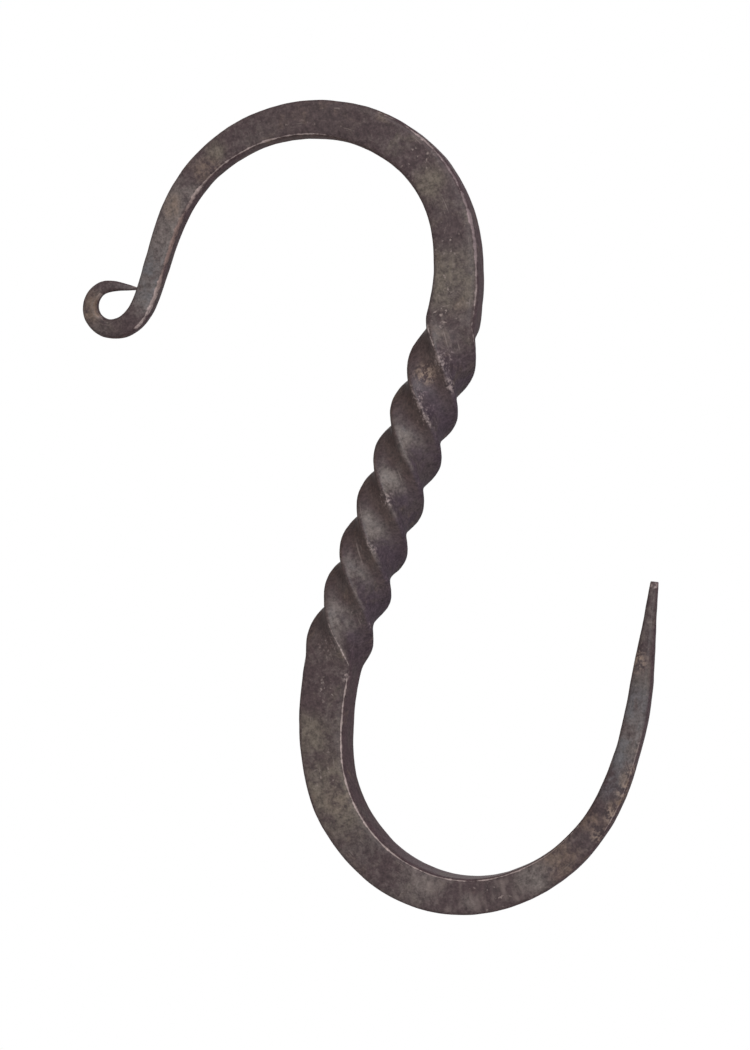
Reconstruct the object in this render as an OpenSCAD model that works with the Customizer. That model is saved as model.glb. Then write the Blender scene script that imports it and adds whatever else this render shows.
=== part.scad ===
// Hand-forged S hook: one length of square bar, drawn down to both ends, twisted in the middle,
// bent into two opposed hooks, and finished with a small curl above and a point below.
// It hangs plumb from its rail seat, which is the origin, with its load seat straight below.
// All bend radii are to the middle of the bar.

/* [Bar] */
// Side of the square bar, at full size in the shank
bar = 10; // [8:0.5:14]
// Radius of the bar's softened corners
corner_r = 1; // [0.3:0.1:1.5]
// Length over which one bend eases into the next
bend_ease = 8; // [2:0.5:12]

/* [Shank and twist] */
// Straight length between the two hooks
shank_len = 55; // [45:1:90]
// Length of bar that is twisted, which runs a little way into both hooks
twist_len = 74; // [50:1:90]
// Quarter turns in the twist
quarter_turns = 7; // [3:1:10]
// Length at each end of the twist where its rate builds up
twist_ease = 8; // [3:0.5:15]
// Angle between the planes of the two hooks, seen along the shank
plane_turn = 4.5; // [0:0.5:12]

/* [Upper hook] */
// Radius of the sweep that leads out of the shank
upper_sweep_r = 52; // [40:1:80]
// Angle of that sweep
upper_sweep_angle = 26.5; // [15:0.5:35]
// Side of the bar where the sweep runs into the shoulder
shoulder_side = 8.4; // [6:0.1:11]
// Radius of the shoulder, the tightest bend of the upper hook
shoulder_r = 26; // [20:0.5:40]
// Angle of the shoulder
shoulder_angle = 52.5; // [30:0.5:70]
// Side of the bar where the shoulder runs into the crown
crown_side = 7.8; // [6:0.1:10]
// Radius of the crown, over the top and down the front
crown_r = 31; // [22:0.5:45]
// Angle of the crown
crown_angle = 104; // [80:0.5:125]
// Side of the bar where the crown runs into the arm
arm_side = 4.8; // [4:0.1:7]
// Length of the straight arm
arm_len = 14.5; // [8:0.5:30]

/* [Curl] */
// Side of the bar where the arm runs into the neck
neck_side = 4.4; // [3.5:0.1:6]
// Radius of the neck, where the bar starts to roll outwards
neck_r = 8; // [6:0.5:14]
// Angle of the neck
neck_angle = 54; // [30:1:70]
// Side of the bar where the neck runs into the curl
curl_side = 4; // [3:0.1:5]
// Diameter of the hole that the curl is rolled round
curl_hole = 5.6; // [4:0.2:9]
// Angle of the curl
curl_angle = 207; // [180:1:225]
// Side of the bar where the curl runs into its straight lip
lip_side = 2; // [1.2:0.1:3]
// Side of the thin end of the lip
tip_side = 0.5; // [0.3:0.1:1]
// Hairline between the end of the lip and the arm that it closes on
lip_gap = 0.2; // [0.1:0.05:1]

/* [Lower hook] */
// Radius of the sweep that leads out of the shank
lower_sweep_r = 57; // [40:1:80]
// Angle of that sweep
lower_sweep_angle = 26; // [15:0.5:35]
// Side of the bar where the sweep runs into the throat
throat_side = 8.7; // [6:0.1:11]
// Radius of the throat, down the back of the hook
throat_r = 29; // [22:0.5:45]
// Angle of the throat
throat_angle = 60; // [40:0.5:75]
// Side of the bar where the throat runs into the heel
heel_side = 7.8; // [6:0.1:10]
// Radius of the heel, the tightest bend of the lower hook
heel_r = 26; // [20:0.5:40]
// Angle of the heel
heel_angle = 40; // [25:0.5:55]
// Side of the bar where the heel runs into the toe
toe_side = 6.7; // [5:0.1:9]
// Radius of the toe, where the hook opens again
toe_r = 33.5; // [24:0.5:50]
// Angle of the toe
toe_angle = 52.5; // [35:0.5:65]
// Side of the bar where the toe runs into the tail
tail_side = 4.8; // [4:0.1:7]
// Radius of the tail, the last gentle bend
tail_r = 81; // [50:1:120]
// Angle of the tail
tail_angle = 15.5; // [5:0.5:25]
// Side of the bar where the tail runs into the point
point_side = 4.1; // [3:0.1:6]
// Length of the straight point
point_len = 19.5; // [10:0.5:35]
// Side of the point's blunt end
end_side = 1.4; // [0.8:0.1:3]

/* [Hidden] */

// Most that the bar bends or twists between two sections, and the longest step between them
ring_angle = 8;
ring_step = 2.4;
// Points round each corner of a section, and strips across each side between two corners
corner_points = 3;
side_strips = 4;
// Most of a side that one corner takes up
corner_share = 0.3;
// Rounds that close the lip on the arm, and that let the hook swing plumb
rounds = 5;

// A point turned anticlockwise about zero, in a plane
function turned(p, a) = [p[0] * cos(a) - p[1] * sin(a), p[0] * sin(a) + p[1] * cos(a)];

// The bar as stretches: [length, bend at its start, bend at its end, side at its end].
// A bend is in degrees a millimetre, and a positive one turns left on the way from curl to point.
function straight(length, side) = [length, 0, 0, side];
function arc(radius, turn, side) =
    let (bend = sign(turn) * 180 / (PI * radius))
    [turn / bend, bend, bend, side];
// Rolled round a hole, so the middle of the bar moves out as the bar gets thicker
function rolled(hole, turn, first_side, side) =
    let (first = 360 / (PI * (hole + first_side)), last = 360 / (PI * (hole + side)))
    [2 * turn / (first + last), first, last, side];

function bar_plan(lip_len) = [
    straight(lip_len, lip_side),
    rolled(curl_hole, curl_angle, lip_side, curl_side),
    arc(neck_r, neck_angle, neck_side),
    straight(arm_len, arm_side),
    arc(crown_r, -crown_angle, crown_side),
    arc(shoulder_r, -shoulder_angle, shoulder_side),
    arc(upper_sweep_r, -upper_sweep_angle, bar),
    straight(shank_len, bar),
    arc(lower_sweep_r, lower_sweep_angle, throat_side),
    arc(throat_r, throat_angle, heel_side),
    arc(heel_r, heel_angle, toe_side),
    arc(toe_r, toe_angle, tail_side),
    arc(tail_r, tail_angle, point_side),
    straight(point_len, end_side),
];
STRETCHES = ["lip", "curl", "neck", "arm", "crown", "shoulder", "upper sweep", "shank",
             "lower sweep", "throat", "heel", "toe", "tail", "point"];

// Where each stretch starts along the bar, and where the last one ends
function starts(plan) =
    [for (i = 0, s = 0; i <= len(plan); s = s + (i < len(plan) ? plan[i][0] : 0), i = i + 1) s];
function start_of(name, plan) = starts(plan)[search([name], STRETCHES)[0]];
// Bend along the bar: it runs evenly from one stretch's into the next one's, over the ease
function half_ease(plan, i) =
    i == 0 || i == len(plan) ? 0 : min(bend_ease, plan[i - 1][0], plan[i][0]) / 2;
function bend_table(plan) =
    let (start = starts(plan))
    [for (i = [0 : len(plan) - 1], d = [half_ease(plan, i), plan[i][0] - half_ease(plan, i + 1)])
        [start[i] + d, plan[i][1] + (plan[i][2] - plan[i][1]) * d / plan[i][0]]];
// Side of the bar along it
function side_table(plan) =
    let (start = starts(plan))
    [for (i = [0 : len(plan)]) [start[i], i == 0 ? tip_side : plan[i - 1][3]]];

// The twist is left-handed, and makes up for the angle between the hooks' planes
twist = plane_turn - 90 * quarter_turns;
steady_len = twist_len - 2 * twist_ease;
// Share of the twist that is done at a distance from the middle of the shank
function twist_share(from_middle) =
    let (u = min(twist_len, max(0, from_middle + twist_len / 2)),
         rising = min(u, twist_ease),
         steady = min(max(0, u - twist_ease), steady_len),
         falling = max(0, u - twist_ease - steady_len))
    (rising ^ 2 / twist_ease / 2 + steady + falling - falling ^ 2 / twist_ease / 2)
        / (steady_len + twist_ease);

// Step from one section to the next, shorter where the bar bends or twists more
function step_at(s, bends, middle, length) =
    let (spin = abs(s - middle) < twist_len / 2 ? abs(twist) / (steady_len + twist_ease) : 0,
         step = min(ring_step, ring_angle / max(abs(lookup(s, bends)) + spin, ring_angle / ring_step)),
         left = length - s)
    left > 2 * step ? step : left > step ? left / 2 : left;
// Middle of the bar at each section: [place along the bar, x, z, heading], with the tip at zero
function trace(plan) =
    let (bends = bend_table(plan),
         middle = start_of("shank", plan) + shank_len / 2,
         length = starts(plan)[len(plan)])
    [for (s = 0, x = 0, z = 0, a = 0, more = true, h = step_at(0, bends, middle, length);
          more;
          more = h > 0,
          turn = lookup(s + h / 2, bends) * h,
          x = x + h * cos(a + turn / 2),
          z = z + h * sin(a + turn / 2),
          a = a + turn,
          s = s + h,
          h = step_at(s, bends, middle, length))
        [s, x, z, a]];

// Point on a face of the bar, to the left of the way for side 1 and to the right for side -1
function face_point(at, sides, side) =
    let (d = side * lookup(at[0], sides) / 2)
    [at[1] - d * sin(at[3]), at[2] + d * cos(at[3])];
// Length of lip at which its end stops a hairline short of the arm. The lip lies on the x axis,
// so the arm's face is met where it crosses that axis.
function closed_lip(lip_len, round) =
    round <= 0 ? lip_len :
    let (plan = bar_plan(lip_len),
         sides = side_table(plan),
         first = start_of("neck", plan),
         last = start_of("shoulder", plan),
         face = [for (at = trace(plan)) if (at[0] > first && at[0] < last) face_point(at, sides, 1)],
         room = [for (i = [1 : len(face) - 1])
             let (p = face[i - 1], q = face[i])
             if (p[1] * q[1] <= 0) (p[0] * q[1] - q[0] * p[1]) / (p[1] - q[1])])
    closed_lip(lip_len + min(room) - lip_gap, round - 1);

plan = bar_plan(closed_lip(curl_hole, rounds));
sides = side_table(plan);
middle = start_of("shank", plan) + shank_len / 2;
path = trace(plan);

// The path with the middle of the shank at zero and the way from curl to point straight down
path_x = lookup(middle, [for (at = path) [at[0], at[1]]]);
path_z = lookup(middle, [for (at = path) [at[0], at[2]]]);
shank_heading = lookup(middle, [for (at = path) [at[0], at[3]]]);
function upright(at) =
    let (a = -90 - shank_heading, p = turned([at[1] - path_x, at[2] - path_z], a))
    [at[0], p[0], p[1], at[3] + a];
hook = [for (at = path) upright(at)];

// Everything past the middle of the shank stands in the lower hook's plane
function in_plane(p, s) =
    s < middle ? p :
    concat(turned(p, -plane_turn), p[2]);

// Inner face of each hook, and its seat: the highest or lowest point there when the hook leans
function inner(at, side) = let (p = face_point(at, sides, side)) in_plane([p[0], 0, p[1]], at[0]);
upper_inner = [for (at = hook) if (at[0] < middle) inner(at, -1)];
lower_inner = [for (at = hook) if (at[0] > middle) inner(at, 1)];
function height(p, lean) = p[0] * sin(lean) + p[2] * cos(lean);
function seat(line, lean, way) =
    let (heights = [for (p = line) way * height(p, lean)])
    line[search(max(heights), heights)[0]];
// Lean at which the load seat hangs straight below the rail seat
function plumb(lean, round) =
    round <= 0 ? lean :
    let (d = seat(upper_inner, lean, 1) - seat(lower_inner, lean, -1))
    plumb(atan2(d[0], d[2]), round - 1);
lean = plumb(0, rounds);
rail_seat = seat(upper_inner, lean, 1);

// Square section with round corners, as places to the left of the way and towards the front:
// a corner and the flat side after it, four times round
function quarter(side) =
    let (r = min(corner_r, side * corner_share), flat = side / 2 - r)
    concat([for (i = [0 : corner_points - 1])
                let (a = 90 * i / (corner_points - 1)) [flat + r * cos(a), flat + r * sin(a)]],
           [for (i = [1 : side_strips - 1]) [flat - 2 * flat * i / side_strips, side / 2]]);
function section(side) = [for (a = [0 : 90 : 270], p = quarter(side)) turned(p, a)];
// One section of the bar, turned by the twist and set on the path
function ring(at) =
    let (s = at[0],
         a = at[3] + 90,
         spin = twist * twist_share(s - middle) - (s < middle ? 0 : plane_turn))
    [for (p = section(lookup(s, sides)))
        let (q = turned(p, spin))
        in_plane([at[1] + q[0] * cos(a), -q[1], at[2] + q[0] * sin(a)], s)];
ring_points = 4 * (corner_points + side_strips - 1);

// Middle of a section, where its end face closes
function ring_middle(at) = in_plane([at[1], 0, at[2]], at[0]);

// The forged bar, skinned from section to section and closed at both ends
module s_hook() {
    last = len(hook) - 1;
    tip = (last + 1) * ring_points;
    end = tip + 1;
    points = concat([for (at = hook) each ring(at)], [ring_middle(hook[0]), ring_middle(hook[last])]);
    faces = [for (j = [0 : ring_points - 1])
        let (k = (j + 1) % ring_points, far = last * ring_points)
        each concat([[tip, j, k], [end, far + k, far + j]],
            [for (i = [0 : last - 1], half = [0, 1])
                let (a = i * ring_points, b = a + ring_points)
                half == 0 ? [a + j, b + j, b + k] : [a + j, b + k, a + k]])];
    color("#584e4c")
        rotate([0, -lean, 0]) translate(-rail_seat)
            polyhedron(points, faces);
}

s_hook();
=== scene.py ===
# A hand-forged S hook on a white studio ground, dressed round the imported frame.
import math

import bmesh
import bpy
from mathutils import Matrix, Vector


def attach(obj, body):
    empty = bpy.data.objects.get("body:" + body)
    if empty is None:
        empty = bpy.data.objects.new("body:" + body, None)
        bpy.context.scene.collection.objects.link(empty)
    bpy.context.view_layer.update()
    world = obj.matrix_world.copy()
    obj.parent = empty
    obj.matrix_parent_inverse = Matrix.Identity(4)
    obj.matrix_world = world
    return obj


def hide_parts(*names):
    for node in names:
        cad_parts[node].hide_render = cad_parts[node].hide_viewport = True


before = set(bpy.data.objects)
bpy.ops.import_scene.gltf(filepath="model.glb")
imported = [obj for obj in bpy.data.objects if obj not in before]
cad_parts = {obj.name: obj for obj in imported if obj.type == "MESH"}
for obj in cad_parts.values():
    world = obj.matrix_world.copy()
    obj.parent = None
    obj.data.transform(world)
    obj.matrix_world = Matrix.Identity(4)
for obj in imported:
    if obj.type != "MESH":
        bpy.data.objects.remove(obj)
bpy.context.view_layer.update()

MM = 0.001

# The bar's skin comes from the frame as rings of points, with one point in the middle of each end.
RING_POINTS = 24
CORNERS = 4
POINTS_A_SIDE = RING_POINTS // CORNERS
# Points of the skin that lie closer than this are one point.
SAME_POINT = 0.0005 * MM

# The bar's own map, with the side of the bar where it is thickest, and the millimetres to one unit of
# the map
BAR_MAP = "along_bar"
FULL_SIDE = 10
MAP_SIZE = 100

# Middles of the two bowls, which the worn edges face, and the height that parts the two hooks
UPPER_BOWL = Vector((0, 0, -27)) * MM
LOWER_BOWL = Vector((0, -4, -124)) * MM
MID_HEIGHT = -77 * MM

# Height of both ends of the twist, and how far it lies from the plumb line, in millimetres
TWIST_TOP = -45
TWIST_FOOT = -102
TWIST_REACH = 34
# Degrees that the real bar is ahead of an even twist, by the millimetres from the curl's tip: the first
# and the last quarter turn are slower than the rest, and they start and stop sharply.
TURNS_AHEAD = [(136.7, 0), (138.4, -1.5), (140.3, 2.5), (141.5, 4.5), (143, 5.5), (144.7, 5),
               (147, 2.5), (149, 0.5), (152, -3), (156, -1.5), (160, 0),
               (188, 0), (193, 2.5), (196.9, 3.4), (200, -0.9), (203, -5.6), (206.7, -2), (208.2, 4.2),
               (209, 2), (210.7, 0)]
# How sharp the rim of the point's flat end stays when the bar is drawn out
END_CREASE = 0.7

# How far left the arm's foot and then the curl start, in millimetres, and the way that the rubbed edge
# of the bend between them faces
ARM_FOOT = -24
CURL_START = -38
BEND_SIDE = Vector((0.85, 0, -0.53))
# The way a strand's middle faces for its painted sheen, partly rubbed wear, at the front and likewise
# the back
STRAND_SHEEN_WAY = Vector((0.29, 0.94, 0.13))

# Stretches of the hook: where each starts to count and where it counts in full, in millimetres across,
# up or into the twist, or as how squarely a place faces the two ways above
LEFT_ARM = (-10, -18)
RIGHT_SHANK = (16, 28)
INSIDE_OF_BOWLS = (24, 12)
TOE_ACROSS = (12, 20)
TOE_DOWN = (-124, -132)
INTO_TWIST = (0, 8)
ENDS_OF_TWIST = (24, 6)
SHEEN_DOWN = (-57, -62)
FACING_BEND = (0.42, 0.62)
FACING_STRAND = (0.88, 0.98)

# How bare the edges get rubbed: all of them, how much more in some places, and both ends of the bar
PLAIN_RUB = 0.7
TWIST_RUB = 0.22
BOWL_RUB = 0.34
TOE_RUB = 0.32
END_RUB = 0.3
# How soon an edge that turns to the bowl, or away from it, is rubbed in full
TURN_GAIN = 1.4
# The share of an edge's rub that reaches the points beside it, and how much more does on the arm and
# on the right shank
BESIDE_EDGE = 0.45
ARM_WIDER = 0.45
SHANK_WIDER = 0.3


# Bench work

def pick_only(obj):
    """Nothing but this object is selected, and it is the one worked on."""
    bpy.ops.object.select_all(action="DESELECT")
    obj.select_set(True)
    bpy.context.view_layer.objects.active = obj


def finish_with(obj, kind, **settings):
    """Add a modifier with these settings and apply it."""
    pick_only(obj)
    step = obj.modifiers.new(kind.lower(), kind)
    for name, value in settings.items():
        setattr(step, name, value)
    bpy.ops.object.modifier_apply(modifier=step.name)


def fade(value, none, full):
    """0 at one value, 1 at the other, and evenly between them."""
    return min(1.0, max(0.0, (value - none) / (full - none)))


# The bar

def copy_bar(node):
    """A piece of its own with the frame's skin, its loose triangles merged and its marks cleared."""
    bar = bpy.data.objects.new("forged_bar", node.data.copy())
    bpy.context.scene.collection.objects.link(bar)
    pick_only(bar)
    bpy.ops.object.mode_set(mode="EDIT")
    bpy.ops.mesh.select_all(action="SELECT")
    bpy.ops.mesh.remove_doubles(threshold=SAME_POINT)
    bpy.ops.mesh.mark_sharp(clear=True)
    bpy.ops.object.mode_set(mode="OBJECT")
    bpy.ops.mesh.customdata_custom_splitnormals_clear()
    return bar


def rings_from_tip(skin):
    """The rings of the skin in turn from the curl's tip to the point, and the slanting edges between
    them. Point j of a ring lies on the same strand of the bar as point j of every other ring."""
    ends = [v for v in skin.verts if len(v.link_edges) == RING_POINTS]
    tip, point = sorted(ends, key=lambda v: v.co.x)
    ring_no = {tip: 0}
    newest = [tip]
    while newest:
        reached = []
        for old in newest:
            for v in (e.other_vert(old) for e in old.link_edges):
                if v not in ring_no:
                    ring_no[v] = ring_no[old] + 1
                    reached.append(v)
        newest = reached

    # A triangle that stands on its point has two corners on the next ring: one is straight on along
    # the strand, and the other lies across a slanting edge, which is longer on the whole.
    pairs = []
    for face in skin.faces:
        corners = list(face.verts)
        first = min(corners, key=ring_no.get)
        if first is tip or sum(ring_no[v] == ring_no[first] for v in corners) > 1:
            continue
        start = corners.index(first)
        pairs.append((first, corners[(start + 1) % 3], corners[(start + 2) % 3]))
    one_way = sum((a.co - b.co).length for a, b, c in pairs)
    other_way = sum((a.co - c.co).length for a, b, c in pairs)
    if one_way > other_way:
        pairs = [(a, c, b) for a, b, c in pairs]
    straight_on = {a: b for a, b, c in pairs if b is not point}
    slants = [skin.edges.get((a, c)) for a, b, c in pairs if point not in (b, c)]

    ring = [tip.link_edges[0].other_vert(tip)]
    while len(ring) < RING_POINTS:
        ring.append(next(v for v in (e.other_vert(ring[-1]) for e in ring[-1].link_edges)
                         if ring_no[v] == 1 and v not in ring))
    rings = [ring]
    while rings[-1][0] in straight_on:
        rings.append([straight_on[v] for v in rings[-1]])
    return rings, [e for e in slants if e is not None]


def middle_of(ring):
    return sum((v.co for v in ring), Vector()) / RING_POINTS


def settle_twist(rings):
    """Turn the rings at both ends of the twist about the bar, to where the real bar has them."""
    middles = [middle_of(ring) for ring in rings]
    run = 0.0
    for before, here, after, ring in zip(middles, middles[1:], middles[2:], rings[1:]):
        run += (here - before).length / MM
        for (start, at_start), (end, at_end) in zip(TURNS_AHEAD, TURNS_AHEAD[1:]):
            if start <= run < end:
                degrees = at_start + (at_end - at_start) * fade(run, start, end)
                turn = Matrix.Rotation(-math.radians(degrees), 3, (after - before).normalized())
                for v in ring:
                    v.co = here + turn @ (v.co - here)


def edge_strand(rings):
    """The first strand of the bar that is one of its edges, where the points lie farthest out."""
    spread = [0.0] * RING_POINTS
    for ring in rings:
        middle = middle_of(ring)
        for j, v in enumerate(ring):
            spread[j] += (v.co - middle).length
    return max(range(POINTS_A_SIDE), key=lambda j: sum(spread[j::POINTS_A_SIDE]))


def into_twist(middle):
    """Height in millimetres from the nearer end of the twist, or below 0 off the twist."""
    x, z = middle.x / MM, middle.z / MM
    return min(TWIST_TOP - z, z - TWIST_FOOT) if abs(x) < TWIST_REACH else -1


def edge_rub(middle, normal):
    """How bare the bar's edge gets rubbed at a place, around 1 at most: along the inside of the bowls,
    in the bend at the arm's foot, at both ends of the twist and on the back of the right shank, and a
    little less on the back of the toe."""
    x, z = middle.x / MM, middle.z / MM
    if into_twist(middle) > 0:
        return PLAIN_RUB + TWIST_RUB * fade(into_twist(middle), *ENDS_OF_TWIST)
    upper = middle.z > MID_HEIGHT
    inward = ((UPPER_BOWL if upper else LOWER_BOWL) - middle).normalized().dot(normal)
    if upper and CURL_START < x < ARM_FOOT:
        inward = max(inward, fade(normal.dot(BEND_SIDE), *FACING_BEND))
    turned = min(1.0, abs(inward) * TURN_GAIN)
    if inward > 0:
        return PLAIN_RUB + BOWL_RUB * turned * fade(x, *INSIDE_OF_BOWLS)
    if upper:
        return PLAIN_RUB + BOWL_RUB * turned * fade(x, *RIGHT_SHANK)
    return PLAIN_RUB + TOE_RUB * turned * fade(x, *TOE_ACROSS) * fade(z, *TOE_DOWN)


def mark_ring(ring, middle, edge, marks):
    """Write down for each point of a ring how much it gets rubbed, which way it faces, and how far it is
    in the twist and on the painted sheen, partly rubbed wear, in the middle of a strand there."""
    x, z = middle.x / MM, middle.z / MM
    # The thin arm is rubbed wider than the rest, and so is the right shank, but less.
    wider = max(ARM_WIDER * fade(x, *LEFT_ARM), SHANK_WIDER * fade(x, *RIGHT_SHANK))
    rub_over = (1.0, BESIDE_EDGE + (wider if middle.z > MID_HEIGHT else 0.0), 0.0, 0.0)
    twisted = fade(into_twist(middle), *INTO_TWIST)
    # The painted sheen on the strands' middles, partly rubbed wear, with none at the twist's top
    sheen_and_rub = twisted * fade(z, *SHEEN_DOWN)
    for j, v in enumerate(ring):
        from_edge = min((j - edge) % POINTS_A_SIDE, (edge - j) % POINTS_A_SIDE)
        strand = Vector((v.normal.x, abs(v.normal.y), v.normal.z)).dot(STRAND_SHEEN_WAY)
        v[marks["rub"]] = rub_over[from_edge] * edge_rub(middle, v.normal)
        v[marks["broadside"]] = abs(v.normal.y)
        v[marks["rearward"]] = v.normal.y
        v[marks["rightward"]] = v.normal.x
        v[marks["twisted"]] = twisted
        v[marks["sheen_and_rub"]] = sheen_and_rub * fade(strand, *FACING_STRAND)


def draw_map(skin, bar_map, run_of, place_of):
    """Lay out the bar's own map: round the bar one way and along it the other."""
    step = FULL_SIDE / MAP_SIZE / POINTS_A_SIDE
    for face in skin.faces:
        places = [place_of.get(loop.vert, 0) for loop in face.loops]
        wraps = max(places) - min(places) > RING_POINTS / 2
        for loop, place in zip(face.loops, places):
            turn = place + RING_POINTS if wraps and place < RING_POINTS / 2 else place
            loop[bar_map].uv = (turn * step, run_of.get(loop.vert, 0.0) / MM / MAP_SIZE)


def lay_out_bar(bar):
    """Turn the skin's triangles into squares along the bar, with its marks and its map."""
    skin = bmesh.new()
    skin.from_mesh(bar.data)
    marks = {name: skin.verts.layers.float.new(name)
             for name in ("rub", "broadside", "rearward", "rightward", "twisted", "sheen_and_rub")}
    crease = skin.edges.layers.float.new("crease_edge")
    bar_map = skin.loops.layers.uv.new(BAR_MAP)
    rings, slants = rings_from_tip(skin)
    settle_twist(rings)
    skin.normal_update()

    for a, b in zip(rings[-1], rings[-1][1:] + rings[-1][:1]):
        skin.edges.get((a, b))[crease] = END_CREASE

    for v in skin.verts:
        v[marks["rub"]] = END_RUB
    edge = edge_strand(rings)
    run_of, place_of = {}, {}
    run, last = 0.0, middle_of(rings[0])
    for ring in rings:
        middle = middle_of(ring)
        run += (middle - last).length
        last = middle
        mark_ring(ring, middle, edge, marks)
        for j, v in enumerate(ring):
            run_of[v], place_of[v] = run, (j - edge) % RING_POINTS

    bmesh.ops.dissolve_edges(skin, edges=slants, use_verts=False, use_face_split=False)
    draw_map(skin, bar_map, run_of, place_of)
    skin.to_mesh(bar.data)
    skin.free()
    bar.data.update()


def dent(bar, name, size, depth, level, detail):
    """Leave cloudy dents of this size on the bar: those below the level sink in, the rest rise."""
    clouds = bpy.data.textures.new(name, "CLOUDS")
    clouds.noise_scale = size
    clouds.noise_depth = detail
    finish_with(bar, "DISPLACE", texture=clouds, texture_coords="LOCAL", direction="NORMAL",
                mid_level=level, strength=depth)


def forge_bar(bar):
    """Draw the squares out to a smooth bar, and leave the unevenness of hammer and scale on it."""
    finish_with(bar, "SUBSURF", levels=2, render_levels=2)
    dent(bar, "hammer_blows", size=9 * MM, depth=0.3 * MM, level=0.3, detail=1)
    dent(bar, "forge_scale", size=2.2 * MM, depth=0.1 * MM, level=0.5, detail=2)
    pick_only(bar)
    bpy.ops.object.shade_smooth()


# Materials

class Wire:
    """A value in a material, which takes part in sums as a number does."""

    def __init__(self, bench, socket):
        self.bench, self.socket = bench, socket

    def __add__(self, other):
        return self.bench.sum("ADD", self, other)

    def __sub__(self, other):
        return self.bench.sum("SUBTRACT", self, other)

    def __rsub__(self, other):
        return self.bench.sum("SUBTRACT", other, self)

    def __mul__(self, other):
        return self.bench.sum("MULTIPLY", self, other)

    __radd__ = __add__
    __rmul__ = __mul__


class Bench:
    """Where one material, or the world, is mixed from nodes."""

    def __init__(self, owner):
        owner.use_nodes = True
        self.tree = owner.node_tree
        self.tree.nodes.clear()

    def node(self, kind, settings=None, sockets=None, output=0):
        made = self.tree.nodes.new(kind)
        for name, value in (settings or {}).items():
            setattr(made, name, value)
        for name, value in (sockets or {}).items():
            if isinstance(value, Wire):
                self.tree.links.new(value.socket, made.inputs[name])
            else:
                made.inputs[name].default_value = value
        return Wire(self, made.outputs[output]) if made.outputs else made

    def sum(self, operation, first, second):
        return self.node("ShaderNodeMath", {"operation": operation}, {0: first, 1: second})

    def most(self, first, *others):
        for other in others:
            first = self.sum("MAXIMUM", first, other)
        return first

    def ease(self, value, low, high):
        """0 below low, 1 above high and a soft step between them."""
        return self.node("ShaderNodeMapRange", {"interpolation_type": "SMOOTHSTEP"},
                         {"Value": value, "From Min": low, "From Max": high})

    def mark(self, name):
        """What was written down for the points of the piece under this name."""
        return self.node("ShaderNodeAttribute", {"attribute_name": name}, output="Fac")

    def grain(self, where, size, detail=2, roughness=0.5, drift=0.0):
        """Cloudy unevenness of about this size, around a half."""
        return self.node("ShaderNodeTexNoise", {"noise_dimensions": "3D"},
                         {"Vector": where, "Scale": 1 / size, "Detail": detail, "Roughness": roughness,
                          "Distortion": drift})

    def blend(self, mask, under, over):
        return self.node("ShaderNodeMix", {"data_type": "RGBA"}, {0: mask, 6: under, 7: over}, output=2)

    def shade(self, colour, value):
        """The colour made lighter or darker by a value around 1."""
        return self.node("ShaderNodeVectorMath", {"operation": "SCALE"}, {0: colour, "Scale": value})


def tone(red, green, blue):
    """A colour as it is seen on a screen, from 0 to 255, for a shader."""
    def linear(part):
        part /= 255
        return part / 12.92 if part <= 0.04045 else ((part + 0.055) / 1.055) ** 2.4
    return (linear(red), linear(green), linear(blue), 1.0)


BROWN_SCALE = tone(68, 54, 56)
GREY_SCALE = tone(79, 69, 68)
OLIVE_SCALE = tone(99, 90, 81)
LIGHT_OLIVE = tone(116, 103, 92)
# Pale scale for patches, also used as the painted sheen on the twist's strands
PALE_SCALE_AND_SHEEN = tone(104, 95, 92)
# Flank scale with painted shade: red on sides that face left, purple on those facing right, darker in
# the twist
RED_SCALE_AND_SHADE = tone(75, 59, 56)
PURPLE_SCALE_AND_SHADE = tone(75, 58, 63)
TWIST_PURPLE_SHADE = tone(73, 60, 70)
UMBER_SCALE = tone(64, 50, 52)
PALE_FLECK = tone(142, 128, 123)
RUST_TAN = tone(110, 92, 80)
LIGHT_TAN = tone(142, 123, 111)
STEEL_BLUE = tone(85, 84, 88)
BARE_EDGE = tone(172, 156, 153)
PINK_EDGE = tone(140, 118, 112)
LILAC_EDGE = tone(142, 126, 128)

# Places of the photograph's patches on the bar, and how far they reach, in millimetres
TAN_PLACES = [((-12, -3, -1), 4), ((-21, -3, -5), 4), ((-44, -1, -18), 5),
              ((11, -7, -149), 6), ((19, -7, -144), 3.5), ((21.6, -7, -147), 2.6),
              ((25.2, -7, -143), 2.6), ((28.4, -7, -139), 2.6), ((31.6, -7, -134.3), 2.6),
              ((37.6, -6, -118.5), 2.5), ((16.2, -4.8, -53.4), 3)]
BLUE_PLACES = [((-30, -2, -17), 9), ((33, -7, -127), 8), ((29, -7, -133), 7), ((25, -7, -138), 5)]
OLIVE_PLACES = [((-27, -5, -125), 12), ((-29, -5, -112), 7), ((27, -4, -38), 9), ((29, -4, -19), 5),
                ((-9, -3, 2), 3.2)]
LIGHT_OLIVE_PLACES = [((-27, -5, -126), 4), ((-31, -5, -109), 2.5)]
LIGHT_TAN_PLACES = [((16.2, -4.8, -53.2), 3), ((37.1, -6.1, -118.7), 2.4), ((38.2, -5.8, -116.3), 1.8),
                    ((19.8, -7.4, -147.2), 2.2), ((23.4, -7.2, -144.3), 2.4), ((27, -7, -140.9), 2.4),
                    ((29.7, -6.3, -137.9), 2.2)]
PALE_PLACES = [((-26, -2, -12), 12), ((-31, -2, -19), 8), ((-20, -3, -5), 7), ((31, -7, -131), 9),
               ((5, -7, -151), 5)]
FAINT_PALE_PLACES = [((-15.5, -6.4, -145.5), 6), ((-8.5, -6.8, -152), 2.5)]
UMBER_PLACES = [((-39, -1, -25), 5), ((12, -4, 1), 18), ((-2, -7, -153), 13), ((20, -7, -144), 9),
                ((30, -4, -29), 5)]
FLECKED_PLACES = [((28, -4, -31), 5), ((25, -4, -38), 5), ((23, -5, -43), 6), ((-22, -5, -105), 4),
                  ((-28, -5, -121), 4), ((-4, -7, -152), 6), ((-19, -5, -97), 4), ((28, -4, -14), 6)]
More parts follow.
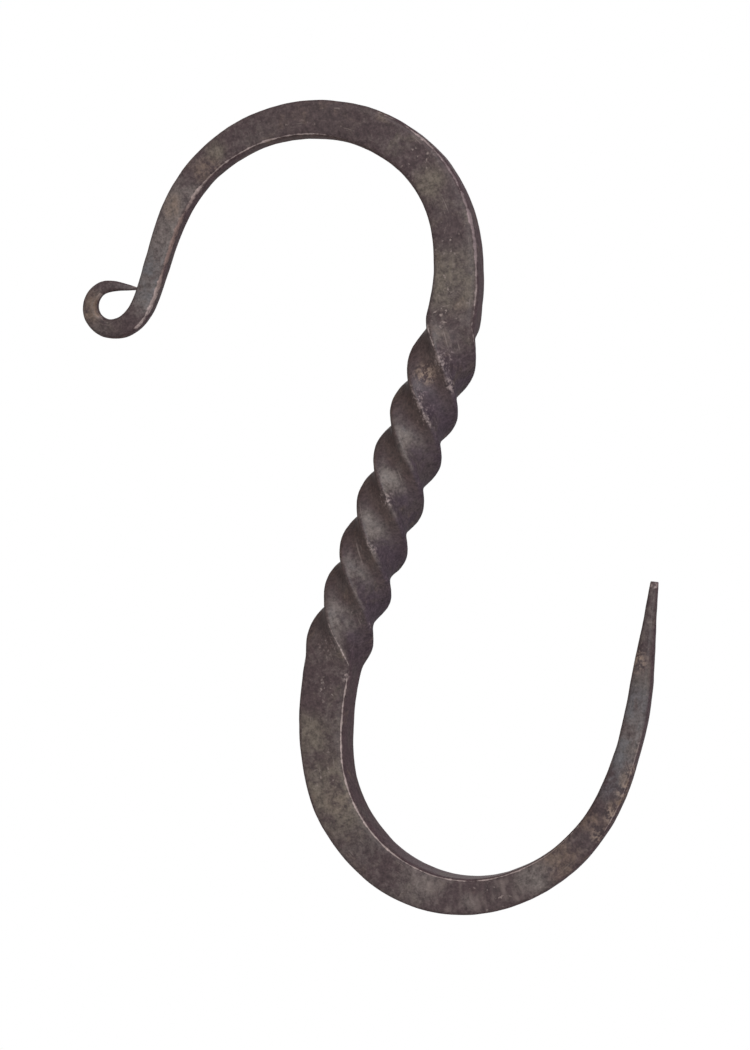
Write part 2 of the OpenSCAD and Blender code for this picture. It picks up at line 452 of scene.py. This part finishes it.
RUBBED_PLACES = [((21.2, -5.3, -52.3), 3.5), ((20.6, -5, -56.8), 2.5), ((14, -6.2, -57), 3),
                 ((14.3, -6.1, -61), 3.5), ((1.4, -6.5, -73.3), 2.5), ((-4.2, -6.5, -81), 2.2),
                 ((-19.2, -4.8, -96.5), 3), ((-17.6, -5, -103.6), 1.2), ((45, -5, -105.7), 1.2)]
PINK_EDGE_PLACES = [((-25, -2, -11), 15)]
LILAC_EDGE_PLACES = [((34, -2, -25), 24)]
STROKED_PLACES = [((-10, -7, -150), 12), ((-14, -6, -145), 7), ((-1, -7, -153), 8)]
# The share of a patch's reach in which it counts in full
PATCH_HEART = 0.25


class IronBench(Bench):
    """A bench for the forged bar, with its marks and its unevenness laid out."""

    def __init__(self, material):
        super().__init__(material)
        self.place = self.node("ShaderNodeTexCoord", output="Object")
        self.rub = self.mark("rub")
        self.rightward = self.mark("rightward")
        self.twisted = self.mark("twisted")
        self.sheen_and_rub = self.mark("sheen_and_rub")
        # The broad sides are brushed smoother than the flanks, which keep a matt scale with painted
        # shade in its colour.
        broadside = self.mark("broadside")
        self.brushed = self.ease(broadside, 0.55, 0.95)
        self.dull_and_shaded = 1 - self.ease(broadside, 0.4, 0.9)
        # The photograph doesn't show the back, so its patches lie where they fall.
        self.rear = self.ease(self.mark("rearward"), 0.3, 0.8)

        self.drifts = self.grain(self.place, 14 * MM)
        self.broad = self.grain(self.place, 11 * MM, detail=3, roughness=0.55)
        self.rusty = self.grain(self.place, 6 * MM, detail=3, roughness=0.6, drift=0.5)
        self.patchy = self.grain(self.place, 4 * MM, detail=4, roughness=0.6, drift=0.4)
        self.mottle = self.grain(self.place, 1.1 * MM, detail=4, roughness=0.65)
        self.specks = self.grain(self.place, 0.75 * MM, detail=1)
        self.sand = self.grain(self.place, 0.42 * MM)
        self.scratches = self.grain(self.on_map(across=0.5, along=7), 1)
        self.strokes = self.grain(self.on_map(across=5, along=1.6), 1, detail=1)

    def on_map(self, across, along):
        """Places on the bar's own map, for a grain of this size across the bar and along it in mm."""
        flat = self.node("ShaderNodeUVMap", {"uv_map": BAR_MAP})
        return self.node("ShaderNodeVectorMath", {"operation": "MULTIPLY"},
                         {0: flat, 1: (MAP_SIZE / across, MAP_SIZE / along, 0)})

    def spot(self, middle, reach):
        """1 at a place on the bar, and 0 from its reach on."""
        away = self.node("ShaderNodeVectorMath", {"operation": "DISTANCE"},
                         {0: self.place, 1: Vector(middle) * MM}, output="Value")
        return 1 - self.ease(away, PATCH_HEART * reach * MM, reach * MM)

    def places(self, spots):
        return self.most(*(self.spot(middle, reach) for middle, reach in spots))

    def broken(self, fine, low, high):
        """A patch's broken cover, with this share of fine mottle in it."""
        return self.ease(self.mottle * fine + self.patchy, low, high)

    def speckle(self, mottle, sand):
        """A value around 1 that varies by this much of mottle and of sand."""
        return 1 + (self.mottle - 0.5) * mottle + (self.sand - 0.5) * sand


def tan_rust(mix):
    """Where small tan rust lies on the bar."""
    tan = mix.most(mix.places(TAN_PLACES), mix.ease(mix.rusty, 0.56, 0.7) * 0.4)
    return tan * mix.broken(0.5, 0.62, 0.9)


def flat_scale(mix, tan):
    """The scale of the broad sides: brown and grey, with the photograph's patches over it."""
    grey = mix.ease(mix.broad * 0.5 + mix.mottle * 0.5, 0.42, 0.58)
    colour = mix.blend(grey, BROWN_SCALE, GREY_SCALE)

    olive = mix.most(mix.places(OLIVE_PLACES), mix.rear * mix.ease(mix.drifts, 0.5, 0.62),
                     mix.twisted * 0.2)
    olive = mix.most(mix.ease(mix.patchy, 0.5, 0.75) * 0.5, olive * mix.broken(0.4, 0.4, 0.88))
    colour = mix.blend(olive * mix.brushed * 0.9, colour, OLIVE_SCALE)
    light_olive = mix.places(LIGHT_OLIVE_PLACES) * mix.broken(0.5, 0.5, 0.9)
    colour = mix.blend(light_olive * 0.7, colour, LIGHT_OLIVE)

    umber = mix.most(mix.places(UMBER_PLACES), mix.rear * mix.ease(1 - mix.drifts, 0.52, 0.62))
    colour = mix.blend(umber * 0.7, colour, UMBER_SCALE)
    pale = mix.most(mix.places(PALE_PLACES), mix.places(FAINT_PALE_PLACES) * 0.65,
                    mix.rear * mix.ease(mix.rusty, 0.5, 0.62))
    colour = mix.blend(pale * mix.broken(0.3, 0.3, 0.8), colour, PALE_SCALE_AND_SHEEN)
    blue = mix.places(BLUE_PLACES) * mix.broken(0.4, 0.52, 0.84)
    colour = mix.blend(blue * 0.75, colour, STEEL_BLUE)
    return mix.blend(tan * 0.6, colour, RUST_TAN)


def flank_scale_and_shade(mix):
    """The flanks' matt scale with painted shade: red where they face left, purple where they face right
    and a darker purple in the twist, grey in drifts and a little rusty, and painted darker in the twist."""
    purple = mix.blend(mix.twisted, PURPLE_SCALE_AND_SHADE, TWIST_PURPLE_SHADE)
    colour = mix.blend(mix.ease(mix.rightward, -0.5, 0.5), RED_SCALE_AND_SHADE, purple)
    grey = mix.ease(mix.drifts * 0.4 + mix.patchy * 0.6, 0.46, 0.6)
    colour = mix.blend(grey * 0.6, colour, GREY_SCALE)
    rust = mix.ease(mix.rusty, 0.54, 0.68) * mix.broken(0.5, 0.62, 0.9)
    colour = mix.blend(rust * 0.45, colour, RUST_TAN)
    # Painted shade: the twist is made darker.
    return mix.shade(colour, 1 - mix.twisted * 0.16)


def pale_flecks(mix):
    flecked = mix.most(mix.ease(mix.patchy, 0.5, 0.66) * 0.35, mix.places(FLECKED_PLACES) * 0.8)
    return mix.ease(mix.specks, 0.62, 0.76) * flecked


def light_marks(mix, flecks):
    """Where flecks, scratches along the bar and brush strokes across the heel show on the flats."""
    stroked = mix.places(STROKED_PLACES) * mix.ease(mix.strokes + mix.patchy * 0.6, 0.7, 1.1) * 0.4
    scratched = mix.ease(mix.scratches, 0.62, 0.74) * mix.ease(mix.patchy, 0.45, 0.6) * 0.5
    return mix.most(stroked, scratched, flecks) * mix.brushed


def worn_edges(mix):
    """How far the edges are worn to bare metal, and the rubbed places beside them."""
    edges = mix.ease(mix.rub + (mix.patchy - 0.5) * 0.5 + (mix.mottle - 0.5) * 0.4, 0.86, 1.02)
    rubbed = mix.ease(mix.mottle * 0.7 + mix.sand * 0.5 + mix.rub * 0.22, 0.66, 0.86)
    return mix.most(edges * 0.85, mix.places(RUBBED_PLACES) * rubbed * 0.5)


def bare_metal(mix, tan):
    """The colour of a worn edge: pink on the arm, lilac on the right shank, and tan where it rusts."""
    colour = mix.blend(mix.places(PINK_EDGE_PLACES), BARE_EDGE, PINK_EDGE)
    colour = mix.blend(mix.places(LILAC_EDGE_PLACES), colour, LILAC_EDGE)
    return mix.shade(mix.blend(tan, colour, RUST_TAN), mix.speckle(mottle=1.2, sand=0.8))


def forged_iron():
    """Dark patchy scale, brushed on the broad sides and matt with painted shade on the flanks and in the
    twist, with a painted sheen, partly rubbed wear, on the strands, light marks, tan rust and edges that
    are rubbed bare."""
    material = bpy.data.materials.new("forged_iron_scale")
    mix = IronBench(material)
    tan = tan_rust(mix)
    flecks = pale_flecks(mix)
    worn = worn_edges(mix)

    # The flanks and the twist, but for its sheen, take the flank colour with its painted shade.
    flanks = mix.most(mix.dull_and_shaded * 0.85, mix.twisted * (1 - mix.sheen_and_rub) * 0.85)
    colour = mix.blend(flanks, flat_scale(mix, tan), flank_scale_and_shade(mix))
    # Painted sheen, partly rubbed wear, on the middle of each strand of the twist
    colour = mix.blend(mix.sheen_and_rub * mix.broken(0.6, 0.56, 1.0), colour, PALE_SCALE_AND_SHEEN)
    colour = mix.shade(colour, mix.speckle(mottle=1.6, sand=1.4))
    colour = mix.blend(light_marks(mix, flecks), colour, PALE_FLECK)
    colour = mix.blend(worn, colour, bare_metal(mix, tan))
    tanned = mix.places(LIGHT_TAN_PLACES) * mix.ease(mix.mottle * 0.8 + mix.sand * 0.4, 0.56, 0.74)
    colour = mix.blend(tanned * 0.9, colour, LIGHT_TAN)

    roughness = 0.95 - mix.brushed * 0.52 + (mix.mottle - 0.5) * 0.3
    rise = mix.mottle * 0.7 + mix.sand * 0.3 - flecks * 0.5
    bump = mix.node("ShaderNodeBump", sockets={"Strength": 0.45, "Distance": 0.12 * MM, "Height": rise})
    skin = mix.node("ShaderNodeBsdfPrincipled", sockets={
        "Base Color": colour, "Roughness": roughness, "Metallic": worn * 0.5,
        "Specular IOR Level": 0.24, "Normal": bump})
    mix.node("ShaderNodeOutputMaterial", sockets={"Surface": skin})
    return material


# Studio

# The camera of the photograph, in the frame of the hanging hook: it stands low, a little to one side,
# and is rolled, because the hook was laid aslant.
AIM = Vector((-3.524, 0, -77.328)) * MM
CAMERA_AWAY = 535 * MM
CAMERA_ROUND = math.radians(11.427)
CAMERA_RISE = math.radians(-2.110)
CAMERA_ROLL = math.radians(-18.695)
NEAREST_SEEN = 10 * MM
FOCAL_PIXELS = 2741.9
PHOTO_HEIGHT = 1050
SENSOR = 36

WHITE = (1, 1, 1, 1)
PALE_PAPER = (0.9, 0.9, 0.9, 1)
# The world's light on the hook, where 1 would be the white that the camera sees
WORLD_LIGHT = 0.32
LAMP_SIZE = 0.4
FLOOR_HEIGHT = -240 * MM
FLOOR_SIZE = 6.0
# How much of the floor's shading shows below the hook, and the metres from there over which it fades
SHADOW_SHOWN = 0.4
SHADOW_FADE = (0.05, 0.2)


def camera_axes():
    """Right, up and back of the rolled camera."""
    back = Vector((math.sin(CAMERA_ROUND) * math.cos(CAMERA_RISE),
                   -math.cos(CAMERA_ROUND) * math.cos(CAMERA_RISE),
                   math.sin(CAMERA_RISE)))
    level = (-back).cross(Vector((0, 0, 1))).normalized()
    upright = level.cross(-back)
    right = level * math.cos(CAMERA_ROLL) + upright * math.sin(CAMERA_ROLL)
    up = upright * math.cos(CAMERA_ROLL) - level * math.sin(CAMERA_ROLL)
    return right, up, back


def set_camera():
    lens = bpy.data.cameras.new("camera")
    lens.sensor_fit = "VERTICAL"
    lens.sensor_height = SENSOR
    lens.lens = FOCAL_PIXELS / PHOTO_HEIGHT * SENSOR
    lens.clip_start = NEAREST_SEEN
    camera = bpy.data.objects.new("camera", lens)
    bpy.context.scene.collection.objects.link(camera)
    right, up, back = camera_axes()
    turn = Matrix((right, up, back)).transposed().to_4x4()
    camera.matrix_world = Matrix.Translation(AIM + back * CAMERA_AWAY) @ turn
    bpy.context.scene.camera = camera


def hang_lamp(name, aside, above, ahead, power):
    """A soft lamp, placed in metres as seen from the camera and turned to the hook."""
    right, up, back = camera_axes()
    where = AIM + right * aside + up * above + back * ahead
    lamp = bpy.data.lights.new(name, "AREA")
    lamp.shape = "DISK"
    lamp.size = LAMP_SIZE
    lamp.energy = power
    body = bpy.data.objects.new(name, lamp)
    bpy.context.scene.collection.objects.link(body)
    turn = (where - AIM).to_track_quat("Z", "Y").to_matrix().to_4x4()
    body.matrix_world = Matrix.Translation(where) @ turn


def seen(mix):
    """1 for what the camera sees, straight on or in a reflection, and 0 for plain light."""
    light = mix.node("ShaderNodeLightPath").socket.node
    return mix.most(*(Wire(mix, light.outputs[name])
                      for name in ("Is Camera Ray", "Is Glossy Ray", "Is Transmission Ray")))


def white_world():
    world = bpy.data.worlds.new("white_studio")
    bpy.context.scene.world = world
    mix = Bench(world)
    level = WORLD_LIGHT + seen(mix) * (1 - WORLD_LIGHT)
    ground = mix.node("ShaderNodeBackground", sockets={"Color": WHITE, "Strength": level})
    mix.node("ShaderNodeOutputWorld", sockets={"Surface": ground})


def pale_floor():
    """A floor of pale paper that looks white but for the hook's shadow, and lets the hook be seen from
    below."""
    bpy.ops.object.select_all(action="DESELECT")
    bpy.ops.mesh.primitive_plane_add(size=FLOOR_SIZE, location=(0, 0, FLOOR_HEIGHT))
    floor = bpy.context.active_object
    floor.name = "pale_floor"
    material = bpy.data.materials.new("pale_floor")
    mix = Bench(material)
    paper = mix.node("ShaderNodeBsdfDiffuse", sockets={"Color": PALE_PAPER})
    white = mix.node("ShaderNodeEmission", sockets={"Color": WHITE, "Strength": 1.0})
    place = mix.node("ShaderNodeTexCoord", output="Object")
    away = mix.node("ShaderNodeVectorMath", {"operation": "LENGTH"}, {0: place}, output="Value")
    plain = 1 - SHADOW_SHOWN + mix.ease(away, *SHADOW_FADE) * SHADOW_SHOWN
    above = mix.node("ShaderNodeMixShader", sockets={0: seen(mix) * plain, 1: paper, 2: white})
    from_below = mix.node("ShaderNodeNewGeometry", output="Backfacing")
    clear = mix.node("ShaderNodeBsdfTransparent")
    skin = mix.node("ShaderNodeMixShader", sockets={0: from_below, 1: above, 2: clear})
    mix.node("ShaderNodeOutputMaterial", sockets={"Surface": skin})
    floor.data.materials.append(material)


bar = copy_bar(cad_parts["s_hook"])
lay_out_bar(bar)
forge_bar(bar)
bar.data.materials.clear()
bar.data.materials.append(forged_iron())
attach(bar, "root")
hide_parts("s_hook")

bpy.context.scene.view_settings.view_transform = "Standard"
white_world()
pale_floor()
hang_lamp("key_lamp", aside=0.2, above=0.8, ahead=1.08, power=8)
hang_lamp("front_lamp", aside=0.05, above=0, ahead=1.4, power=5)
hang_lamp("back_lamp", aside=0, above=0.4, ahead=-1.3, power=9)
set_camera()
